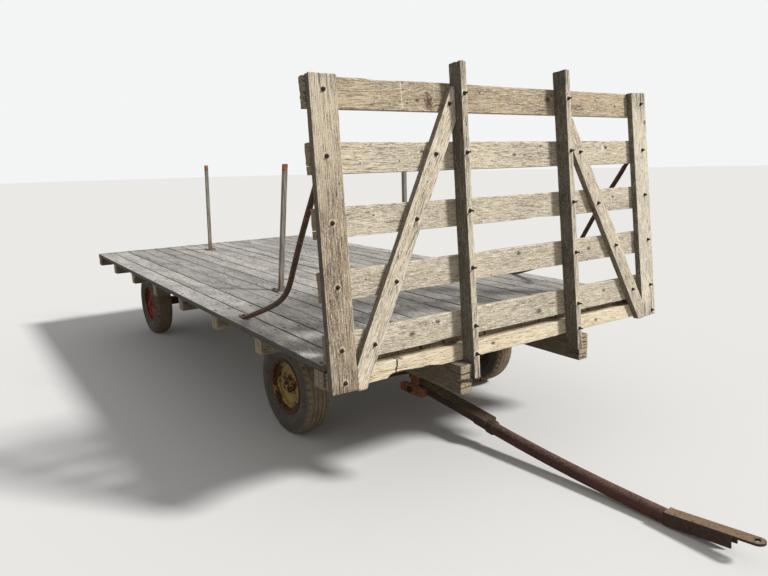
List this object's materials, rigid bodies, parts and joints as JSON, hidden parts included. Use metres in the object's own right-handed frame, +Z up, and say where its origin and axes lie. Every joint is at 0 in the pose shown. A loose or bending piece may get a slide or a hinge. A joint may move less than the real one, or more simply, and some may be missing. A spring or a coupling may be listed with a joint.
{
  "type": "hay wagon",
  "caption": "Flat-deck farm hay wagon with a slatted front rack, steerable front wheels and a long drawbar that rests on the ground.",
  "frame": {"origin": "on the ground, below the middle of the whole wagon with its tongue", "axes": "+X forward to the tongue, +Y to the wagon's left, +Z up"},
  "size_m": [6.2272, 2.44, 2.192],
  "materials": {
    "deck_wood": "bare weathered silver-grey planks, split and worn",
    "rack_wood": "bare weathered tan-grey boards with checks and rusty bolt stains",
    "frame_wood": "bare darkened timber",
    "rusty_steel": "brown rusted steel, matt",
    "tongue_steel": "brown rusted steel, rubbed in places",
    "yellow_paint": "faded yellow paint with rust",
    "red_paint": "faded red paint with rust",
    "tyre": "old dusty black rubber, cracked"
  },
  "bodies": {
    "wagon": {"deck_planks": "deck_wood", "cross_joists": "frame_wood", "sill_right": "frame_wood", "sill_left": "frame_wood", "post_right_end": "rack_wood", "post_right_middle": "rack_wood", "post_left_middle": "rack_wood", "post_left_end": "rack_wood", "rail_1": "rack_wood", "rail_2": "rack_wood", "rail_3": "rack_wood", "rail_4": "rack_wood", "rail_5": "rack_wood", "rail_6": "rack_wood", "diagonal_right": "rack_wood", "diagonal_left": "rack_wood", "brace_right": "rusty_steel", "brace_left": "rusty_steel", "deck_stakes": "rusty_steel", "front_axle": "rusty_steel", "rear_axle": "rusty_steel", "front_bolster": "rusty_steel", "rear_bolster": "rusty_steel", "reach_pole": "rusty_steel", "front_hounds": "rusty_steel", "rear_hounds": "rusty_steel"},
    "swivel": {"drawbar_swivel": "rusty_steel"},
    "tongue": {"tongue_channel": "tongue_steel", "tongue_pipe": "tongue_steel", "hitch_strap_upper": "tongue_steel", "hitch_strap_lower": "tongue_steel"},
    "knuckle_right": {"knuckle_right": "rusty_steel"},
    "knuckle_left": {"knuckle_left": "rusty_steel"},
    "tie_rod_right": {"tie_rod_right": "rusty_steel"},
    "tie_rod_left": {"tie_rod_left": "rusty_steel"},
    "wheel_front_right": {"tyre_front_right": "tyre", "rim_front_right": "yellow_paint", "hub_front_right": "yellow_paint"},
    "wheel_front_left": {"tyre_front_left": "tyre", "rim_front_left": "yellow_paint", "hub_front_left": "yellow_paint"},
    "wheel_rear_right": {"tyre_rear_right": "tyre", "rim_rear_right": "red_paint", "hub_rear_right": "red_paint"},
    "wheel_rear_left": {"tyre_rear_left": "tyre", "rim_rear_left": "red_paint", "hub_rear_left": "red_paint"}
  },
  "joints": [
    {"name": "tongue_swing", "type": "hinge", "parent": "wagon", "child": "swivel", "pos_m": [0.71019, 0, 0.315], "axis": [0, 0, 1], "range_deg": [-30.9, 25.1]},
    {"name": "tongue_lift", "type": "hinge", "parent": "swivel", "child": "tongue", "pos_m": [0.89994, 0.00961, 0.20015], "axis": [0.0506, -0.9987, 0], "range_deg": [0, 17]},
    {"name": "knuckle_right_turn", "type": "hinge", "parent": "wagon", "child": "knuckle_right", "pos_m": [0.60519, -0.69, 0.315], "axis": [0, 0, 1], "range_deg": [-30.9, 25.1]},
    {"name": "knuckle_left_turn", "type": "hinge", "parent": "wagon", "child": "knuckle_left", "pos_m": [0.60519, 0.69, 0.315], "axis": [0, 0, 1], "range_deg": [-30.9, 25.1]},
    {"name": "tie_rod_right_turn", "type": "hinge", "parent": "swivel", "child": "tie_rod_right", "pos_m": [0.81006, 0.00506, 0.282], "axis": [0, 0, 1], "range_deg": [-25.1, 30.9]},
    {"name": "tie_rod_left_turn", "type": "hinge", "parent": "swivel", "child": "tie_rod_left", "pos_m": [0.81006, 0.00506, 0.254], "axis": [0, 0, 1], "range_deg": [-25.1, 30.9]},
    {"name": "wheel_front_right_spin", "type": "hinge", "parent": "knuckle_right", "child": "wheel_front_right", "pos_m": [0.61075, -0.79986, 0.315], "axis": [-0.0506, 0.9987, 0], "continuous": true},
    {"name": "wheel_front_left_spin", "type": "hinge", "parent": "knuckle_left", "child": "wheel_front_left", "pos_m": [0.59962, 0.79986, 0.315], "axis": [-0.0506, 0.9987, 0], "continuous": true},
    {"name": "wheel_rear_right_spin", "type": "hinge", "parent": "wagon", "child": "wheel_rear_right", "pos_m": [-2.59481, -0.8, 0.315], "axis": [0, 1, 0], "continuous": true},
    {"name": "wheel_rear_left_spin", "type": "hinge", "parent": "wagon", "child": "wheel_rear_left", "pos_m": [-2.59481, 0.8, 0.315], "axis": [0, 1, 0], "continuous": true}
  ],
  "couplings": [
    {"joint": "knuckle_right_turn", "follows": "tongue_swing", "ratio": 1},
    {"joint": "knuckle_left_turn", "follows": "tongue_swing", "ratio": 1},
    {"joint": "tie_rod_right_turn", "follows": "tongue_swing", "ratio": -1},
    {"joint": "tie_rod_left_turn", "follows": "tongue_swing", "ratio": -1}
  ]
}
